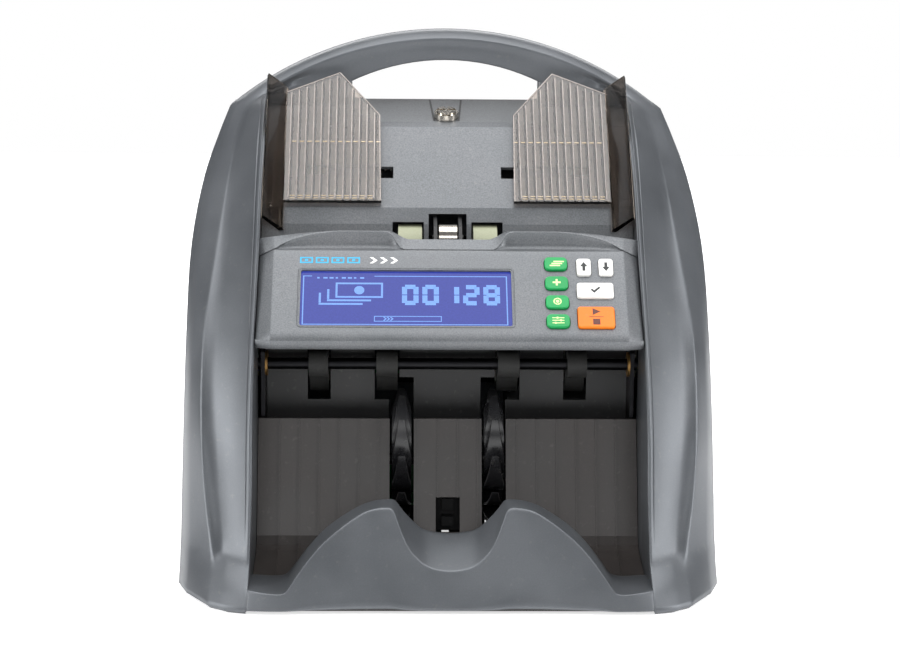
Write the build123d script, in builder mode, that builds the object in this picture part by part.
from build123d import *
import math
import os

# Banknote counting machine, 270 x 245 x 267 mm. Millimetres.
# Origin: middle of the footprint, on the table. +X right, +Y to the rear, +Z up.
# The operator stands on the -Y side.
os.makedirs("parts", exist_ok=True)

# ---- Case ----
HALF_W = 135.0                # half of the overall width
FRONT_Y = -122.5              # foremost edge of the base
REAR_Y = 122.5                # back of the rear cover
TOP_Z = 267.0                 # crown of the carrying handle
FOOT_H = 1.5                  # rubber feet lift the case by this much
WALL = 3.0                    # moulded wall
BAY_HALF = 98.0               # half of the clear width between the two legs
SEAM_Y = 100.0                # joint line between front frame and rear cover
SEAM_Z = 226.0                # top of the rear cover
GAP = 0.3                     # play between separate bodies
CROWN_R = 188.5               # radius of the arched top
SHOULDER = (118.6, 225.0)     # where the arched top meets the sloping side
SIDE_BEND = (128.0, 200.0)    # where the side starts to lean in
SIDE_TOP_Z = 160.0            # the side is upright below this

# ---- Handle ----
HANDLE_Y = (84.0, 112.0)      # front and back of the handle bar
GRIP_HALF = 52.0              # half width of the hand opening
GRIP_CROWN_Z = 251.0          # middle of the opening's arched top
GRIP_SIDE_Z = 239.0           # the arch at the sides of the opening
ARM_Z = 222.0                 # underside of the handle's arms

# ---- Stacker ----
TRAY_TOP = (-24.0, 74.0)      # (y, z) top edge of the leaning stack plate
TRAY_BEND = (-46.5, 13.5)
TRAY_FRONT = (-82.2, 6.4)
TRAY_T = 2.0
RIB_PITCH = 10.2
WHEEL_X = 23.8                # middle of each stacking wheel
WHEEL_W = 10.0
WHEEL_R = 37.0
SLOT_X = (17.5, 30.0)         # slot in the tray for one wheel
APRON_BACK = -82.5

# ---- Shafts, (y, z) ----
FEED = (20.0, 152.0)
RETARD = (-4.6, 146.0)
TRANSPORT = (13.3, 101.0)
PINCH = (-14.0, 101.0)
STACK = (-14.0, 50.0)
MOTOR = (62.0, 62.0)
SHAFT_R = 3.0
RUN = 0.05                    # radial running clearance
BUSH_R = 5.0
FRAME_X = (94.5, 96.5)        # steel side frames
BELT_W = 6.0

# ---- Control panel ----
FACE = Plane(origin=(0, -58.5, 123.0), x_dir=(1, 0, 0), z_dir=(0, -0.698, 0.716))
PANEL_HALF = 97.4
SKIN = 2.5
SCREEN = (-75.3, 8.0, 31.5, 42.5)      # display window: x, t, x, t on the face
KEY_RISE = 1.5

# ---- Hopper ----
HOPPER = Plane(origin=(0, 20.0, 178.0), x_dir=(1, 0, 0), z_dir=(0, -0.725, 0.689))
SHELF = Plane(origin=(0, 58.0, 218.0), x_dir=(1, 0, 0), z_dir=(0, -0.258, 0.966))
PLATE_T = 2.5
SLOT_SPAN = (28.7, 76.6)      # guide slot, along X
SLOT_T = (19.2, 26.8)         # guide slot, up the plate
TAB_X = (65.0, 75.0)          # tab that carries a guide through its slot
PINION_T = 23.0
MODULE = 1.0
PINION_TEETH = 16
PITCH_R = MODULE * PINION_TEETH / 2


def finish(builder, name):
    """Label a finished piece and write its STEP file."""
    piece = builder.part if isinstance(builder, BuildPart) else builder
    piece.label = name
    export_step(piece, f"parts/{name}.step")


def silhouette():
    """Front view outline of the case, as a flat face with Y for height."""
    with BuildSketch() as outline:
        with BuildLine():
            foot = (HALF_W, FOOT_H)
            top = (HALF_W - 0.5, SIDE_TOP_Z)
            side = Line(foot, top)
            lean = TangentArc(top, SIDE_BEND, tangent=(0, 1))
            slope = Line(SIDE_BEND, SHOULDER)
            ThreePointArc(SHOULDER, (0, TOP_Z), (-SHOULDER[0], SHOULDER[1]))
            mirror([side, lean, slope], about=Plane.YZ)
            Line((-HALF_W, FOOT_H), foot)
        make_face()
    return outline.sketch


def prism_x(x0, x1, points, mode=Mode.ADD):
    """Closed (y, z) outline carried along X between two x values."""
    with BuildSketch(Plane.YZ.offset(x0)) as profile:
        with BuildLine():
            Polyline(*points, close=True)
        make_face()
    extrude(profile.sketch, amount=x1 - x0, mode=mode)


def rod(x0, x1, centre, radius, mode=Mode.ADD):
    """Round bar or hole along X between two x values, centred on (y, z)."""
    with BuildSketch(Plane.YZ.offset(x0)) as disc:
        with Locations(centre):
            Circle(radius)
    extrude(disc.sketch, amount=x1 - x0, mode=mode)


def block(low, high, mode=Mode.ADD):
    """Plain box between two corners."""
    size = [b - a for a, b in zip(low, high)]
    with Locations([(low[0] + size[0] / 2, low[1] + size[1] / 2, low[2] + size[2] / 2)]):
        Box(*size, mode=mode)


# Each leg is drawn as level slices: height, front of the inner edge, bottom of the
# scooped recess, crease beside the recess, middle of the pale band, start of the side.
LEG = [
    (1.5, -121.5, (108, -118.5), (118, -111.0), (129.5, -92), (135.0, -75)),
    (9.5, -114.0, (108, -110.0), (117.5, -102), (129.0, -86), (134.9, -69)),
    (20.0, -98.0, (108, -96.0), (116.5, -91), (128.5, -79), (134.8, -63)),
    (47.0, -90.0, (109, -83.0), (121.0, -78.5), (129.0, -68), (134.7, -54)),
    (78.0, -82.0, (110, -74.0), (123.6, -67), (130.0, -57), (134.6, -43)),
    (118.0, -57.4, (110, -49.0), (124.5, -40), (130.0, -32), (134.6, -22)),
    (160.0, -21.5, (109, -10.0), (120.5, 0), (128.0, 7), (134.5, 15)),
    (192.0, 6.0, (108, 18.0), (117.0, 34), (123.0, 40), (129.9, 48)),
    (212.0, 28.0, (106, 43.0), (114.0, 58), (119.0, 62), (123.6, 67)),
    (226.0, 56.0, (105, 64.0), (110.0, 72), (115.0, 77), (118.6, 81)),
    (241.0, 84.0, (100, 86.0), (102.0, 88), (104.0, 90), (106.0, 92)),
]


def leg(inset, side):
    """One leg of the front frame as a ruled loft, or its inside when drawn in by an inset."""
    slices = LEG[:-1] if inset else LEG
    with BuildPart() as solid:
        for z, inner, recess, crease, band, flank in slices:
            with BuildSketch(Plane.XY.offset(z)):
                with BuildLine():
                    Polyline(
                        (side * (BAY_HALF + inset), SEAM_Y + inset),
                        (side * (BAY_HALF + inset), inner + 1.5 * inset),
                        (side * recess[0], recess[1] + 1.5 * inset),
                        (side * (crease[0] - 0.5 * inset), crease[1] + 1.5 * inset),
                        (side * (band[0] - inset), band[1] + inset),
                        (side * (flank[0] - inset), flank[1] + inset),
                        (side * (flank[0] - inset), SEAM_Y + inset),
                        close=True,
                    )
                make_face()
        loft(ruled=True)
    return solid.part


def handle_arch():
    """The arched bar over the hopper, with its arms down to the legs."""
    with BuildPart() as arch:
        with BuildSketch(Plane.XZ.offset(-HANDLE_Y[0])):
            add(silhouette())
            with Locations((0, ARM_Z / 2)):
                Rectangle(2 * HALF_W + 2, ARM_Z, mode=Mode.SUBTRACT)
        extrude(amount=HANDLE_Y[0] - HANDLE_Y[1])
        crest = arch.edges().filter_by(GeomType.CIRCLE).sort_by(Axis.Y)
        fillet(crest[-1], 8)
        fillet(arch.edges().filter_by(GeomType.CIRCLE).sort_by(Axis.Y)[0], 5)
        with BuildSketch(Plane.XZ.offset(-HANDLE_Y[0] + 10)):
            with BuildLine():
                left = (-GRIP_HALF, GRIP_SIDE_Z)
                right = (GRIP_HALF, GRIP_SIDE_Z)
                ThreePointArc(left, (0, GRIP_CROWN_Z), right)
                Polyline(left, (-GRIP_HALF, ARM_Z - 5), (GRIP_HALF, ARM_Z - 5), right)
            make_face()
        extrude(amount=-60, mode=Mode.SUBTRACT)
        block((-HALF_W, SEAM_Y, ARM_Z - 1), (HALF_W, REAR_Y, SEAM_Z + GAP), Mode.SUBTRACT)
    return arch.part


# Top line of the apron, from the middle outwards: x, z at its back and z far in front.
APRON_TOP = [
    (0, 30.0, 12.8), (10, 30.8, 14.2), (15.6, 34.0, 16.6), (20, 38.0, 19.5),
    (23.5, 42.3, 25.0), (26.4, 47.0, 32.0), (28.4, 47.6, 43.0), (40, 46.6, 42.6),
    (47, 42.4, 40.0), (55.5, 37.0, 34.4), (64, 29.6, 28.0), (72.6, 19.4, 19.0),
    (81, 7.6, 8.4), (98.8, 8.6, 10.0),
]


def apron():
    """Low front wall with two humps and a finger notch, hollow from below."""
    front = [(-122.5, FOOT_H), (-118.4, 7.0), (-110.5, 19.0), (-102.0, 32.5), (-94.5, 46.0)]
    with BuildPart() as wall:
        behind = [(-93, 50), (APRON_BACK, 50), (APRON_BACK, FOOT_H)]
        prism_x(-BAY_HALF - 0.5, BAY_HALF + 0.5, [*front, *behind])
        for y, column in ((-80.0, 1), (-127.0, 2)):
            with BuildSketch(Plane.XZ.offset(-y)):
                edge = [(row[0], row[column]) for row in APRON_TOP]
                with BuildLine():
                    back = [(-x, z) for x, z in reversed(edge[1:])]
                    Polyline(*back, *edge, (98.8, 60), (-98.8, 60), close=True)
                make_face()
        loft(ruled=True, mode=Mode.SUBTRACT)
    return wall.part


def base_outline(inset):
    """Plan of the floor pan, inset from the outside of the case."""
    half = HALF_W - inset
    with BuildSketch() as plan:
        with BuildLine():
            Polyline(
                (-half, -72), (-half + 7, -90), (-114, -110 + inset / 2), (-92, FRONT_Y + inset),
                (92, FRONT_Y + inset), (114, -110 + inset / 2), (half - 7, -90), (half, -72),
                (half, REAR_Y - inset - 12), (half - 12, REAR_Y - inset),
                (-half + 12, REAR_Y - inset), (-half, REAR_Y - inset - 12), close=True,
            )
        make_face()
    return plan.sketch


# ---------------------------------------------------------------- front frame
COVER_SCREWS = [(x, z) for x in (-120, 120) for z in (22, 150)]
SCREW_R = 1.5
with BuildPart() as front_frame:
    add(handle_arch())
    for side in (-1, 1):
        add(leg(0.0, side))
    with BuildSketch(Plane.XZ.offset(-REAR_Y)):
        add(silhouette())
    extrude(amount=REAR_Y - FRONT_Y + 1, mode=Mode.INTERSECT)
    add(apron())
    for side in (-1, 1):
        add(leg(WALL, side), mode=Mode.SUBTRACT)
    # the mechanism reaches into the hollow legs behind the stacker
    inside = [
        (-27.8, 0), (SEAM_Y + 1, 0), (SEAM_Y + 1, 214), (62, 210),
        (24, 170), (12, 158), (-8, 154), (-22, 112), (-22, 80), (-27.8, 64.5),
    ]
    prism_x(-BAY_HALF - WALL - 1, BAY_HALF + WALL + 1, inside, Mode.SUBTRACT)
    with BuildSketch(Plane.XY):
        add(base_outline(WALL))
    extrude(amount=FOOT_H + 2.2, mode=Mode.SUBTRACT)
    # ears that take the rear cover's screws
    for x, z in COVER_SCREWS:
        outer = HALF_W - 1.5 if x > 0 else -HALF_W + 1.5
        low, high = sorted((x - math.copysign(5, x), outer))
        block((low, SEAM_Y - 8, z - 5), (high, SEAM_Y, z + 5))
    with BuildSketch(Plane.XZ.offset(-SEAM_Y)):
        with Locations(*COVER_SCREWS):
            Circle(SCREW_R)
    extrude(amount=8, mode=Mode.SUBTRACT)
finish(front_frame, "front_frame")


# ---------------------------------------------------------------- base
FEET = [(-108, -80), (108, -80), (-110, 90), (110, 90)]
FRAME_SCREWS = [(x, y) for x in (-90.0, 90.0) for y in (15, 80)]
with BuildPart() as base_plate:
    with BuildSketch(Plane.XY.offset(FOOT_H)):
        add(base_outline(WALL + 0.1))
    extrude(amount=2.0)
    with BuildSketch(Plane.XY.offset(FOOT_H)):
        with Locations(*FEET):
            Circle(3)
        with Locations(*FRAME_SCREWS):
            Circle(SCREW_R)
        for i in range(-4, 5):
            with Locations((12 * i, 20)):
                SlotOverall(40, 4, rotation=90)
    extrude(amount=2.0, mode=Mode.SUBTRACT)
finish(base_plate, "base_plate")

with BuildPart() as rubber_feet:
    with BuildSketch(Plane.XY):
        with Locations(*FEET):
            Circle(9)
    extrude(amount=FOOT_H)
    with BuildSketch(Plane.XY.offset(FOOT_H)):
        with Locations(*FEET):
            Circle(3)
    extrude(amount=4)
finish(rubber_feet, "rubber_feet")

# ---------------------------------------------------------------- rear cover
INLET = (84.0, 32.0)          # (x, z) middle of the power inlet
SWITCH = (48.0, 32.0)         # (x, z) middle of the power switch
REAR_ROUND = 14.0             # radius of the rear cover's upright and top corners


def rear_form(inset):
    """Outer form of the rear cover, or its inside when drawn in by an inset."""
    reach = REAR_Y - inset
    radius = REAR_ROUND - inset
    with BuildPart() as form:
        with BuildSketch(Plane.XZ.offset(-SEAM_Y - GAP)):
            add(silhouette())
            with Locations((0, SEAM_Z - GAP - inset + 50)):
                Rectangle(2 * HALF_W + 2, 100, mode=Mode.SUBTRACT)
            if inset:
                offset(amount=-inset, kind=Kind.INTERSECTION)
        extrude(amount=SEAM_Y + GAP - reach)
        with BuildSketch(Plane.XY):
            with Locations((0, 0)):
                RectangleRounded(2 * (HALF_W - inset), 2 * reach, radius)
        extrude(amount=SEAM_Z - GAP - inset, mode=Mode.INTERSECT)
        with BuildSketch(Plane.YZ.offset(-HALF_W)) as side_view:
            Rectangle(2 * reach, 2 * (SEAM_Z - GAP - inset))
            fillet(side_view.vertices(), radius)
        extrude(amount=2 * HALF_W, mode=Mode.INTERSECT)
    return form.part


with BuildPart() as rear_cover:
    add(rear_form(0.0))
    add(rear_form(WALL), mode=Mode.SUBTRACT)
    with BuildSketch(Plane.XZ.offset(-SEAM_Y - GAP)):
        with Locations(*COVER_SCREWS):
            Circle(4.5)
    extrude(amount=SEAM_Y + GAP - REAR_Y + 1)
    with BuildSketch(Plane.XZ.offset(-SEAM_Y)):
        with Locations(*COVER_SCREWS):
            Circle(SCREW_R)
    extrude(amount=SEAM_Y - REAR_Y, mode=Mode.SUBTRACT)
    with BuildSketch(Plane.XZ.offset(-SEAM_Y - 4)):
        with Locations(*COVER_SCREWS):
            Circle(3.2)
    extrude(amount=SEAM_Y + 4 - REAR_Y, mode=Mode.SUBTRACT)
    with BuildSketch(Plane.XZ.offset(-REAR_Y)):
        with Locations(INLET):
            Rectangle(27.4, 19.8)
        with Locations(SWITCH):
            Rectangle(19.4, 13.2)
        with Locations((0, 105)):
            with GridLocations(0, 7, 1, 12):
                SlotOverall(70, 3)
        with Locations((-70, 32)):
            Rectangle(17, 12.4)
    extrude(amount=WALL + 1, mode=Mode.SUBTRACT)
    with BuildSketch(Plane.XY.offset(0)):
        add(base_outline(WALL))
    extrude(amount=FOOT_H + 2.2, mode=Mode.SUBTRACT)
finish(rear_cover, "rear_cover")

# ---------------------------------------------------------------- side frames
FRAME = [
    (-20.5, 3.6), (95, 3.6), (95, 221.6), (81, 221), (63.4, 216.4), (59.4, 214.6),
    (22.6, 176.3), (17.4, 168.8), (15, 161), (-11.5, 157), (-11.5, 112), (-20.5, 108),
]
SHAFTS = {"feed": FEED, "retard": RETARD, "transport": TRANSPORT, "pinch": PINCH, "stack": STACK}
for side, name in ((-1, "side_frame_left"), (1, "side_frame_right")):
    x0 = FRAME_X[0] if side > 0 else -FRAME_X[1]
    with BuildPart() as side_frame:
        prism_x(x0, x0 + 2, FRAME)
        foot_x = x0 - 10 if side > 0 else x0
        block((foot_x, 5, 3.6), (foot_x + 12, 90, 5.6))
        for centre in SHAFTS.values():
            rod(x0 - 1, x0 + 3, centre, BUSH_R, Mode.SUBTRACT)
        rod(x0 - 1, x0 + 3, MOTOR, 9, Mode.SUBTRACT)
        prism_x(x0 - 1, x0 + 3, [(40, 110), (80, 110), (80, 185), (40, 160)], Mode.SUBTRACT)
        with BuildSketch(Plane.XY.offset(3)):
            with Locations(*[(x, y) for x, y in FRAME_SCREWS if x * side > 0]):
                Circle(SCREW_R)
        extrude(amount=4, mode=Mode.SUBTRACT)
    finish(side_frame, name)

with BuildPart() as bearings:
    for side in (-1, 1):
        for centre in SHAFTS.values():
            x0 = FRAME_X[0] if side > 0 else -FRAME_X[1]
            rod(x0, x0 + 2, centre, BUSH_R)
            flange = x0 - 1.2 if side > 0 else x0 + 2
            rod(flange, flange + 1.2, centre, BUSH_R + 1.4)
    for centre in SHAFTS.values():
        rod(-HALF_W, HALF_W, centre, SHAFT_R + RUN, Mode.SUBTRACT)
finish(bearings, "bearings")

# ---------------------------------------------------------------- stacker tray
def tray_path(drop):
    """(y, z) line down the stack plate and along the floor, lowered into its back by drop."""
    return [
        (TRAY_TOP[0] + drop, TRAY_TOP[1]),
        (TRAY_BEND[0] + 1.0 + drop, TRAY_BEND[1] + 4 - drop / 2),
        (TRAY_BEND[0] - 1.5 + drop / 2, TRAY_BEND[1] - drop),
        (TRAY_BEND[0] - 6.0, TRAY_BEND[1] - 1.8 - drop),
        (TRAY_FRONT[0], TRAY_FRONT[1] - drop),
    ]


with BuildPart() as stacker_tray:
    half = BAY_HALF - 0.3
    prism_x(-half, half, tray_path(0) + tray_path(TRAY_T)[::-1])
    ribs = [RIB_PITCH * (i + 0.5) for i in range(9)]
    for x in ribs:
        if not SLOT_X[0] - 1 < x < SLOT_X[1] + 1:
            for sign in (-1, 1):
                centre = sign * x
                prism_x(centre - 0.4, centre + 0.4, tray_path(-0.6) + tray_path(0.5)[::-1])
    for sign in (-1, 1):
        low, high = sorted((sign * SLOT_X[0], sign * SLOT_X[1]))
        block((low, TRAY_BEND[0] - 14, 0), (high, TRAY_TOP[0] + 10, 80), Mode.SUBTRACT)
    block((-6.2, -60, 18.7), (6.2, -20, 36.0), Mode.SUBTRACT)
finish(stacker_tray, "stacker_tray")

# ---------------------------------------------------------------- hopper plate
UP_HOPPER = Vector(0, 0.689, 0.725)


def on_hopper(up, out):
    """(y, z) of a point up the hopper plate's slope and out from its face."""
    point = HOPPER.origin + UP_HOPPER * up + Vector(HOPPER.z_dir) * out
    return (point.Y, point.Z)


with BuildPart() as hopper_plate:
    front = [(12.0, 161.0), (14.6, 170.0), on_hopper(0, 0), on_hopper(53.7, 0), (62.0, 219.1), (97.0, 228.4)]
    back = [
        (97.0, 225.8), (63.0, 216.7), on_hopper(53.7, -PLATE_T), on_hopper(0, -PLATE_T),
        (17.1, 169.0), (14.6, 161.0),
    ]
    prism_x(-BAY_HALF + 0.3, BAY_HALF - 0.3, front + back)
    for sign in (-1, 1):
        low, high = sorted((sign * (GRIP_HALF - GAP), sign * (BAY_HALF + 1)))
        block((low, HANDLE_Y[0] - GAP, 200), (high, 110, 240), Mode.SUBTRACT)
    with BuildSketch(HOPPER):
        for sign in (-1, 1):
            with Locations((sign * sum(SLOT_SPAN) / 2, sum(SLOT_T) / 2)):
                Rectangle(SLOT_SPAN[1] - SLOT_SPAN[0], SLOT_T[1] - SLOT_T[0])
    extrude(amount=6, both=True, mode=Mode.SUBTRACT)
    block((-10, 0, 155), (10, 24, 175), Mode.SUBTRACT)
    for sign in (-1, 1):
        low, high = sorted((sign * 12.5, sign * 29.0))
        block((low, 0, 155), (high, 21, 171), Mode.SUBTRACT)
    with BuildSketch(SHELF):
        with Locations((0, 11)):
            Circle(2.6)
    extrude(amount=8, both=True, mode=Mode.SUBTRACT)
finish(hopper_plate, "hopper_plate")

# ---------------------------------------------------------------- note guides
GUIDE_WALL = [(-88.0, 2.0), (-88.3, 73.5), (-58.0, 88.0), (-35.9, 59.0), (-35.0, 2.0)]
GUIDE_BACK = 1.2              # gap between hopper plate and guide
GUIDE_T = 2.2
RIB_X = [-84.0 + 4.1 * i for i in range(12)]
for side, name in ((-1, "guide_left"), (1, "guide_right")):
    with BuildPart() as guide:
        with BuildSketch(HOPPER.offset(GUIDE_BACK)):
            with BuildLine():
                Polyline(*[(-side * x, t) for x, t in GUIDE_WALL], close=True)
            make_face()
        extrude(amount=GUIDE_T)
        with BuildSketch(HOPPER.offset(GUIDE_BACK + GUIDE_T)):
            for x in RIB_X:
                top = 72.5 + (x + 88) * 0.47 if x < -58 else 86 - (x + 58) * 1.3
                with Locations((-side * x, (2.0 + top) / 2)):
                    Rectangle(0.9, top - 2.0)
        extrude(amount=0.7)
        foot = HOPPER.origin - UP_HOPPER * 16
        with BuildSketch(Plane(origin=foot, x_dir=(1, 0, 0), z_dir=UP_HOPPER)):
            section = [
                (-86.0, -1.2), (-88.4, -1.2), (-97.0, -13.0), (-96.2, -15.0), (-94.9, -13.6), (-86.4, -3.4),
            ]
            with BuildLine():
                Polyline(*[(-side * x, w) for x, w in section], close=True)
            make_face()
        extrude(amount=94)
        with BuildSketch(HOPPER.offset(-3.0)):
            with Locations((side * sum(TAB_X) / 2, PINION_T)):
                Rectangle(TAB_X[1] - TAB_X[0], 6.4)
        extrude(amount=GUIDE_BACK + 3.2)
    finish(guide, name)

# racks behind the hopper plate, one above and one below the pinion
RACK_W = (-3.0, -8.5)
TOOTH_TIP = 0.8
TOOTH_ROOT = 1.25
TOOTH_HALF = 0.6              # half tooth on the pitch line, a little slack for free running
FLANK = math.tan(math.radians(20))
PITCH = math.pi * MODULE


def tooth_half(height):
    """Half width of a tooth at a height above its pitch line."""
    return TOOTH_HALF - height * FLANK


for side, name in ((-1, "rack_left"), (1, "rack_right")):
    with BuildPart() as rack:
        root = PITCH_R + TOOTH_ROOT
        with BuildSketch(HOPPER.offset(RACK_W[0])):
            with BuildLine():
                block_line = [(TAB_X[1], -3.2), (TAB_X[0], -3.2), (TAB_X[0], root)]
                teeth = []
                for i in range(12, -1, -1):
                    x = (i - 0.5) * PITCH
                    teeth += [
                        (x + tooth_half(-TOOTH_ROOT), root),
                        (x + tooth_half(TOOTH_TIP), PITCH_R - TOOTH_TIP),
                        (x - tooth_half(TOOTH_TIP), PITCH_R - TOOTH_TIP),
                        (x - tooth_half(-TOOTH_ROOT), root),
                    ]
                outline = block_line + teeth + [(-6, root), (-6, root + 4.5), (TAB_X[1], root + 4.5)]
                flip = -side
                Polyline(*[(-flip * x, PINION_T + flip * t) for x, t in outline], close=True)
            make_face()
        extrude(amount=RACK_W[1] - RACK_W[0])
    finish(rack, name)

with BuildPart() as guide_pinion:
    with BuildSketch(HOPPER.offset(-3.4)):
        with Locations((0, PINION_T)):
            Circle(PITCH_R - TOOTH_ROOT)
        with BuildLine():
            points = []
            for i in range(PINION_TEETH):
                middle = 2 * math.pi * i / PINION_TEETH
                for height, sign in ((-TOOTH_ROOT, -1), (TOOTH_TIP, -1), (TOOTH_TIP, 1), (-TOOTH_ROOT, 1)):
                    radius = PITCH_R + height
                    angle = middle + sign * tooth_half(height) / radius
                    points.append((radius * math.cos(angle), PINION_T + radius * math.sin(angle)))
            Polyline(*points, close=True)
        make_face()
        with Locations((0, PINION_T)):
            Circle(2.5 + RUN, mode=Mode.SUBTRACT)
    extrude(amount=-4.6)
finish(guide_pinion, "guide_pinion")

with BuildPart() as guide_channel:
    with BuildSketch(HOPPER.offset(-9.0)):
        with Locations((0, 27)):
            Rectangle(158, 42)
    extrude(amount=-1.5)
    with BuildSketch(HOPPER.offset(-9.0)):
        with Locations((0, PINION_T)):
            Circle(2.5)
        with Locations((-50, 43.5), (50, 43.5)):
            Circle(3)
    extrude(amount=6.5)
finish(guide_channel, "guide_channel")

# ---------------------------------------------------------------- gap adjuster
ADJUST = (0, 11)
with BuildPart() as adjusting_screw:
    with BuildSketch(SHELF.offset(0.3)):
        with Locations(ADJUST):
            Circle(6.6)
    extrude(amount=3.0)
    with BuildSketch(SHELF.offset(3.3)):
        with Locations(ADJUST):
            Circle(5.2)
    extrude(amount=1.4)
    with BuildSketch(SHELF.offset(3.6)):
        with Locations(ADJUST):
            Rectangle(14, 1.5)
            Rectangle(1.5, 14)
    extrude(amount=2, mode=Mode.SUBTRACT)
    with BuildSketch(SHELF.offset(0.3)):
        with Locations(ADJUST):
            Circle(2.5)
    extrude(amount=-17)
finish(adjusting_screw, "adjusting_screw")

with BuildPart() as adjuster_block:
    with BuildSketch(SHELF.offset(-PLATE_T - 0.4)):
        with Locations(ADJUST):
            Rectangle(16, 12)
            Circle(2.5 + RUN, mode=Mode.SUBTRACT)
    extrude(amount=-8)
finish(adjuster_block, "adjuster_block")

# ---------------------------------------------------------------- feed rollers
FEED_X = (13.5, 26.0)
TYRE_R = 17.0
HUB_R = 12.0


def wheels(spans, centre, inner, outer):
    """Rings along X, one each side of the middle for every |x| span."""
    for low, high in spans:
        for x0 in (-high, low):
            rod(x0, x0 + high - low, centre, outer)
    for low, high in spans:
        for x0 in (-high, low):
            rod(x0, x0 + high - low, centre, inner, Mode.SUBTRACT)


def rollers(spans, centre, hub, tyre):
    """Moulded hubs with a separate soft tyre on each, all on one shaft."""
    with BuildPart() as hubs:
        wheels(spans, centre, SHAFT_R, hub)
    with BuildPart() as tyres:
        wheels(spans, centre, hub, tyre)
    return Compound(children=[*hubs.solids(), *tyres.solids()])


with BuildPart() as feed_shaft:
    rod(-98.5, 114, FEED, SHAFT_R)
finish(feed_shaft, "feed_shaft")
feed_rollers = rollers([FEED_X], FEED, HUB_R, TYRE_R)
finish(feed_rollers, "feed_rollers")
with BuildPart() as retard_shaft:
    rod(-98.5, 98.5, RETARD, SHAFT_R)
finish(retard_shaft, "retard_shaft")
with BuildPart() as retard_rollers:
    wheels([FEED_X], RETARD, SHAFT_R, 8.0)
finish(retard_rollers, "retard_rollers")

PICKUP = (-19.8, 0.5)         # pickup roller axis, up the hopper plate and out from it
PICKUP_POINT = HOPPER.origin + UP_HOPPER * PICKUP[0] + Vector(HOPPER.z_dir) * PICKUP[1]
PICKUP_YZ = (PICKUP_POINT.Y, PICKUP_POINT.Z)
with BuildPart() as pickup_roller:
    rod(-4.65, 4.65, PICKUP_YZ, 7.0)
    rod(-4.65, 4.65, PICKUP_YZ, 1.5 + RUN, Mode.SUBTRACT)
finish(pickup_roller, "pickup_roller")
with BuildPart() as pickup_bracket:
    with BuildSketch(HOPPER.offset(-PLATE_T - 2.2)):
        with Locations((0, 4.25)):
            Rectangle(18, 7.5)
    extrude(amount=2.2)
    for x0 in (-7.4, 5.6):
        with BuildSketch(Plane(origin=(x0, 20.0, 178.0), x_dir=UP_HOPPER, z_dir=(1, 0, 0))):
            with BuildLine():
                cheek = [(-25, 4), (-25, -3), (-17, -4.7), (8, -4.7), (8, -2.9), (-4, -2.9), (-15, 4)]
                Polyline(*cheek, close=True)
            make_face()
        extrude(amount=1.8)
    rod(-8, 8, PICKUP_YZ, 1.5)
finish(pickup_bracket, "pickup_bracket")

# ---------------------------------------------------------------- transport
TRANSPORT_X = [(26.0, 37.0), (62.0, 72.0)]
with BuildPart() as transport_shaft:
    rod(-107, 114, TRANSPORT, SHAFT_R)
finish(transport_shaft, "transport_shaft")
transport_rollers = rollers(TRANSPORT_X, TRANSPORT, 15.0, 20.0)
finish(transport_rollers, "transport_rollers")
with BuildPart() as pinch_shaft:
    rod(-98.5, 98.5, PINCH, SHAFT_R)
finish(pinch_shaft, "pinch_shaft")
with BuildPart() as pinch_rollers:
    wheels(TRANSPORT_X, PINCH, SHAFT_R, 7)
finish(pinch_rollers, "pinch_rollers")
with BuildPart() as cross_bar:
    angle = [(-20.0, 113), (-10.5, 113), (-10.5, 111), (-18.4, 111), (-18.4, 110), (-20.0, 110)]
    prism_x(-94.5, 94.5, angle)
finish(cross_bar, "cross_bar")

# ---------------------------------------------------------------- stacking wheels
FINS = 12
FIN_TIP_ANGLE = 133.5         # one fin tip, measured from +Y towards +Z
FIN_SWEEP = 80.0              # the fin trails by this angle from hub to tip
FIN_HUB_R = 9.0


def fin_point(share, offset):
    """Point on a fin, from the hub (0) to the tip (1), set off sideways by offset."""
    radius = FIN_HUB_R - 1 + (WHEEL_R - FIN_HUB_R + 1) * share ** 0.8 + offset
    angle = math.radians(FIN_TIP_ANGLE + FIN_SWEEP * (1 - share))
    return (radius * math.cos(angle), radius * math.sin(angle))


with BuildSketch() as fin:
    with BuildLine():
        outer = Spline(*[fin_point(i / 5, 0.0) for i in range(6)])
        inner = Spline(*[fin_point(i / 5, -2.6 + 1.9 * i / 5) for i in range(6)])
        Line(outer @ 0, inner @ 0)
        Line(outer @ 1, inner @ 1)
    make_face()

for side, name in ((-1, "stacker_wheel_left"), (1, "stacker_wheel_right")):
    x0 = side * WHEEL_X - WHEEL_W / 2
    hub = Plane(origin=(x0, *STACK), x_dir=(0, 1, 0), z_dir=(1, 0, 0))
    with BuildPart() as stacker_wheel:
        with BuildSketch(hub):
            with PolarLocations(0, FINS):
                add(fin.sketch)
            Circle(FIN_HUB_R)
        extrude(amount=WHEEL_W)
        with BuildSketch(Plane(origin=(x0, *STACK), x_dir=(1, 0, 0), z_dir=(0, -1, 0))):
            half = WHEEL_W / 2
            with BuildLine():
                Polyline(
                    (0, 0), (0, 27), (half - 1.2, WHEEL_R + 1), (half + 1.2, WHEEL_R + 1),
                    (WHEEL_W, 27), (WHEEL_W, 0), close=True,
                )
            make_face()
        axis = Axis((x0, *STACK), (1, 0, 0))
        revolve(axis=axis, mode=Mode.INTERSECT)
        rod(x0 - 1, x0 + WHEEL_W + 1, STACK, SHAFT_R, Mode.SUBTRACT)
    finish(stacker_wheel, name)
with BuildPart() as stacker_shaft:
    rod(-107, 98.5, STACK, SHAFT_R)
finish(stacker_shaft, "stacker_shaft")

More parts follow.
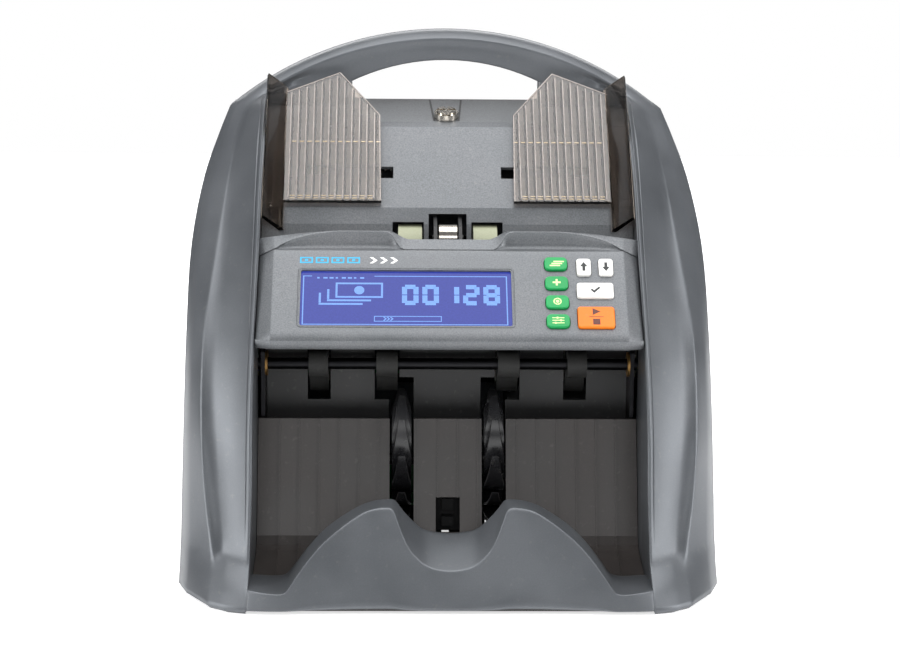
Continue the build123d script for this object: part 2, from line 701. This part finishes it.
# ---------------------------------------------------------------- drive
PULLEYS = [
    ("feed_pulley", [107.5], FEED, 9.0, SHAFT_R),
    ("transport_pulleys", [-105.0, 99.0, 107.5], TRANSPORT, 11.0, SHAFT_R),
    ("stacker_pulley", [-105.0], STACK, 11.0, SHAFT_R),
]
for name, starts, centre, radius, hole in PULLEYS:
    with BuildPart() as pulley:
        for x0 in starts:
            rod(x0, x0 + BELT_W, centre, radius)
            rod(x0, x0 + 1, centre, radius + 1.6)
            rod(x0 + BELT_W - 1, x0 + BELT_W, centre, radius + 1.6)
            rod(x0, x0 + BELT_W, centre, hole, Mode.SUBTRACT)
    finish(pulley, name)

BELTS = [
    (100.3, MOTOR, 7.0, TRANSPORT, 11.0),
    (108.8, TRANSPORT, 11.0, FEED, 9.0),
    (-103.7, TRANSPORT, 11.0, STACK, 11.0),
]
with BuildPart() as drive_belts:
    for x0, first, first_r, second, second_r in BELTS:
        for extra, mode in ((1.3, Mode.ADD), (GAP, Mode.SUBTRACT)):
            with BuildSketch(Plane.YZ.offset(x0)) as loop:
                with Locations(first):
                    Circle(first_r + extra)
                with Locations(second):
                    Circle(second_r + extra)
                make_hull()
            extrude(loop.sketch, amount=BELT_W - 2.6, mode=mode)
finish(drive_belts, "drive_belts")

with BuildPart() as motor:
    rod(34, FRAME_X[0], MOTOR, 21)
    rod(FRAME_X[0], FRAME_X[0] + 2.5, MOTOR, 8.9)
    rod(33, FRAME_X[1] + 2, MOTOR, 2.5 + RUN, Mode.SUBTRACT)
finish(motor, "motor")
with BuildPart() as motor_rotor:
    rod(36, 106, MOTOR, 2.5)
    rod(99, 105, MOTOR, 7.0)
    rod(99, 100, MOTOR, 8.6)
    rod(104, 105, MOTOR, 8.6)
finish(motor_rotor, "motor_rotor")

# ---------------------------------------------------------------- circuits
with BuildPart() as power_supply:
    block((-88, 46, 8.0), (18, 94, 9.6))
    block((-80, 54, 9.6), (-48, 86, 36))
    block((-40, 56, 9.6), (-36, 88, 30))
    block((-10, 60, 9.6), (8, 84, 24))
    for x in (-28, -18):
        with BuildSketch(Plane.XY.offset(9.6)):
            with Locations((x, 72)):
                Circle(4.5)
        extrude(amount=20)
    for x, y in ((-80, 50), (-80, 90), (14, 50), (14, 90)):
        with BuildSketch(Plane.XY.offset(FOOT_H + 2)):
            with Locations((x, y)):
                Circle(2.5)
        extrude(amount=4.6)
finish(power_supply, "power_supply")

with BuildPart() as main_board:
    block((-80, 106, 70), (60, 107.6, 92))
    block((-80, 106, 92), (-45, 107.6, 200))
    block((45, 106, 92), (60, 107.6, 200))
    block((-45, 106, 186), (45, 107.6, 200))
    block((-74, 103.5, 100), (-52, 106, 122))
    block((-74, 102.5, 140), (-50, 106, 150))
    block((-20, 101.5, 188), (20, 106, 195))
    for x, z in ((-75, 75), (55, 75), (-75, 195), (55, 195)):
        with BuildSketch(Plane.XZ.offset(-107.6)):
            with Locations((x, z)):
                Circle(3)
        extrude(amount=-(REAR_Y - WALL - 107.6))
finish(main_board, "main_board")

# ---------------------------------------------------------------- mains inlet and switch
with BuildPart() as power_inlet:
    block((INLET[0] - 13.6, 101.5, INLET[1] - 9.8), (INLET[0] + 13.6, REAR_Y, INLET[1] + 9.8))
    block((INLET[0] - 11.8, 105.5, INLET[1] - 7.9), (INLET[0] + 11.8, REAR_Y, INLET[1] + 7.9), Mode.SUBTRACT)
    for x, z in ((-7, -1.5), (7, -1.5), (0, 2.5)):
        block((INLET[0] + x - 2, 105.5, INLET[1] + z - 1), (INLET[0] + x + 2, 117.5, INLET[1] + z + 1))
finish(power_inlet, "power_inlet")

PIVOT = (117.0, SWITCH[1])    # (y, z) of the rocker's pin
with BuildPart() as switch_body:
    block((SWITCH[0] - 9.6, 104, SWITCH[1] - 6.5), (SWITCH[0] + 9.6, REAR_Y, SWITCH[1] + 6.5))
    block((SWITCH[0] - 7.6, 110, SWITCH[1] - 5.4), (SWITCH[0] + 7.6, REAR_Y, SWITCH[1] + 5.4), Mode.SUBTRACT)
    rod(SWITCH[0] - 9, SWITCH[0] + 9, PIVOT, 1 + RUN, Mode.SUBTRACT)
finish(switch_body, "switch_body")
with BuildPart() as switch_rocker:
    lean = math.radians(9)
    face = []
    for along, out in ((-4.4, 3.6), (0, 2.0), (4.4, 3.6), (4.0, -2.0), (-4.0, -2.0)):
        y = PIVOT[0] + out * math.cos(lean) - along * math.sin(lean)
        z = PIVOT[1] + along * math.cos(lean) + out * math.sin(lean)
        face.append((y, z))
    prism_x(SWITCH[0] - 7.2, SWITCH[0] + 7.2, face)
    rod(SWITCH[0] - 8.8, SWITCH[0] + 8.8, PIVOT, 1.0)
finish(switch_rocker, "switch_rocker")
with BuildPart() as data_socket:
    block((-78.4, 108, 25.9), (-61.6, REAR_Y, 38.1))
    block((-76.5, 112, 27.5), (-63.5, REAR_Y, 36.5), Mode.SUBTRACT)
finish(data_socket, "data_socket")

# ---------------------------------------------------------------- control panel
PANEL_TOP = (-19.3, 161.2)
PANEL_BACK = [(-12.6, 159), (-16, 148), (-22.5, 130), (-26, 116.6)]


def on_face(up, out):
    """(y, z) of a point up the panel face's slope and out from it."""
    point = FACE.origin + Vector(FACE.y_dir) * up + Vector(FACE.z_dir) * out
    return (point.Y, point.Z)


with BuildPart() as panel_housing:
    outline = [(-58.5, 123.0), PANEL_TOP, (-17.0, 164.2), (-10.6, 167.0), *PANEL_BACK, (-56.5, 116.6)]
    prism_x(-PANEL_HALF, PANEL_HALF, outline)
    for side in (-1, 1):
        low, high = sorted((side * 27.0, side * 88.0))
        prism_x(low, high, [(-18, 160), (-17.5, 166.0), (-13.5, 170.8), (-10.6, 170.2), (-10.6, 160)])
    hollow = [
        (-54.3, 119.2), on_face(1.5, -SKIN), on_face(54.0, -SKIN), (-14.6, 159), (-12.0, 159),
        *PANEL_BACK[1:], (-26, 119.2),
    ]
    prism_x(-PANEL_HALF + SKIN, PANEL_HALF - SKIN, hollow, Mode.SUBTRACT)
    x0, t0, x1, t1 = SCREEN
    with BuildSketch(FACE):
        with Locations(((x0 + x1) / 2, (t0 + t1) / 2)):
            RectangleRounded(x1 - x0, t1 - t0, 1.2)
    extrude(amount=-6, mode=Mode.SUBTRACT)

KEYS = {
    "key_batch": (54.4, 46.2, 11.7, 8.0), "key_add": (54.4, 34.1, 11.7, 8.0),
    "key_manual": (54.4, 22.3, 11.7, 8.0), "key_mode": (54.4, 10.6, 11.7, 8.0),
    "key_up": (68.6, 44.1, 7.3, 10.4), "key_down": (79.9, 44.1, 7.3, 10.4),
    "key_set": (73.8, 29.5, 18.6, 9.3), "key_start": (73.6, 12.9, 18.6, 12.8),
}


def key_corner(high):
    """Corner radius of a key of a given height: the green ones are nearly pills."""
    return 1.6 if high > 9 else 2.6


with BuildPart() as panel_with_holes:
    add(panel_housing.part)
    for x, t, wide, high in KEYS.values():
        with BuildSketch(FACE):
            with Locations((x, t)):
                RectangleRounded(wide + 2 * GAP, high + 2 * GAP, key_corner(high) + GAP)
        extrude(amount=-6, mode=Mode.SUBTRACT)
finish(panel_with_holes, "panel_housing")

with BuildPart() as panel_back:
    inner = [(y - 2.0, z) for y, z in PANEL_BACK[1:]]
    inner[-1] = (inner[-1][0], 119.4)
    strip = [(-13.2, 158.8), PANEL_BACK[1], PANEL_BACK[2], (-25.2, 119.4), *inner[::-1], (-15.0, 158.8)]
    prism_x(-PANEL_HALF + SKIN + 0.1, PANEL_HALF - SKIN - 0.1, strip)
finish(panel_back, "panel_back")

for name, (x, t, wide, high) in KEYS.items():
    with BuildPart() as key:
        with BuildSketch(FACE.offset(-3.2)):
            with Locations((x, t)):
                RectangleRounded(wide, high, key_corner(high))
        extrude(amount=3.2 + KEY_RISE)
        top = key.faces().sort_by(Axis(FACE.origin, FACE.z_dir))[-1]
        fillet(top.edges(), 0.6)
        with BuildSketch(FACE.offset(-4.2)):
            with Locations((x, t)):
                RectangleRounded(wide + 1.6, high + 1.6, key_corner(high) + 0.8)
        extrude(amount=1.0)
    finish(key, name)

with BuildPart() as display_window:
    x0, t0, x1, t1 = SCREEN
    with BuildSketch(FACE.offset(-2.4)):
        with Locations(((x0 + x1) / 2, (t0 + t1) / 2)):
            RectangleRounded(x1 - x0 - 0.1, t1 - t0 - 0.1, 1.2)
    extrude(amount=1.4)
finish(display_window, "display_window")
with BuildPart() as display_module:
    with BuildSketch(FACE.offset(-5.0)):
        with Locations(((x0 + x1) / 2, (t0 + t1) / 2)):
            Rectangle(x1 - x0 + 2, t1 - t0 + 2)
    extrude(amount=2.4)
    with BuildSketch(FACE.offset(-5.0)):
        with Locations(((x0 + x1) / 2, (t0 + t1) / 2)):
            Rectangle(x1 - x0 + 10, t1 - t0 + 8)
    extrude(amount=-1.6)
finish(display_module, "display_module")
with BuildPart() as keypad_board:
    with BuildSketch(FACE.offset(-6.8)):
        with Locations((66.5, 27)):
            Rectangle(44, 43.6)
    extrude(amount=-1.2)
    with BuildSketch(FACE.offset(-6.8)):
        for x, t, wide, high in KEYS.values():
            with Locations((x, t)):
                Circle(2.2)
    extrude(amount=1.4)
finish(keypad_board, "keypad_board")

# ---------------------------------------------------------------- note path
CHUTE = [(9.0, 157), (3.9, 149), (-3.0, 125), (-5.5, 110), (-5.5, 70)]
CHUTE_T = 1.5
CHUTE_SLOTS = (               # x, x, z, z of the slots on each side that rollers reach through
    (12.5, 27, 128, 160), (25, 38, 80, 122), (61, 73, 80, 122), (17.5, 30.5, 60, 92),
)
with BuildPart() as note_chute:
    prism_x(-94.2, 94.2, CHUTE + [(y + CHUTE_T, z) for y, z in reversed(CHUTE)])
    block((-10, -20, 148), (10, 20, 160), Mode.SUBTRACT)
    for side in (-1, 1):
        for low, high, bottom, top in CHUTE_SLOTS:
            near, far = sorted((side * low, side * high))
            block((near, -20, bottom), (far, 20, top), Mode.SUBTRACT)
finish(note_chute, "note_chute")
with BuildPart() as note_sensors:
    for x in (-50, 50):
        block((x - 5, -1.4, 112), (x + 5, 6, 121))
    block((-8.0, -30.0, 16.0), (8.0, -28.4, 40.0))
    block((-3.0, -34.5, 28.0), (3.0, -30.0, 34.0))
    block((-3.0, -36.5, 20.0), (3.0, -30.0, 25.0))
finish(note_sensors, "note_sensors")

# ---------------------------------------------------------------- fasteners
with BuildPart() as case_screws:
    for height, length, radius in ((FOOT_H + 0.4, 4.0, SCREW_R), (5.6, 2.0, 2.8)):
        with BuildSketch(Plane.XY.offset(height)):
            with Locations(*FRAME_SCREWS):
                Circle(radius)
        extrude(amount=length)
    for y, length, radius in ((SEAM_Y - 7, 11.2, SCREW_R), (SEAM_Y + 4.1, 2.4, 2.9)):
        with BuildSketch(Plane.XZ.offset(-y)):
            with Locations(*COVER_SCREWS):
                Circle(radius)
        extrude(amount=-length)
finish(case_screws, "case_screws")
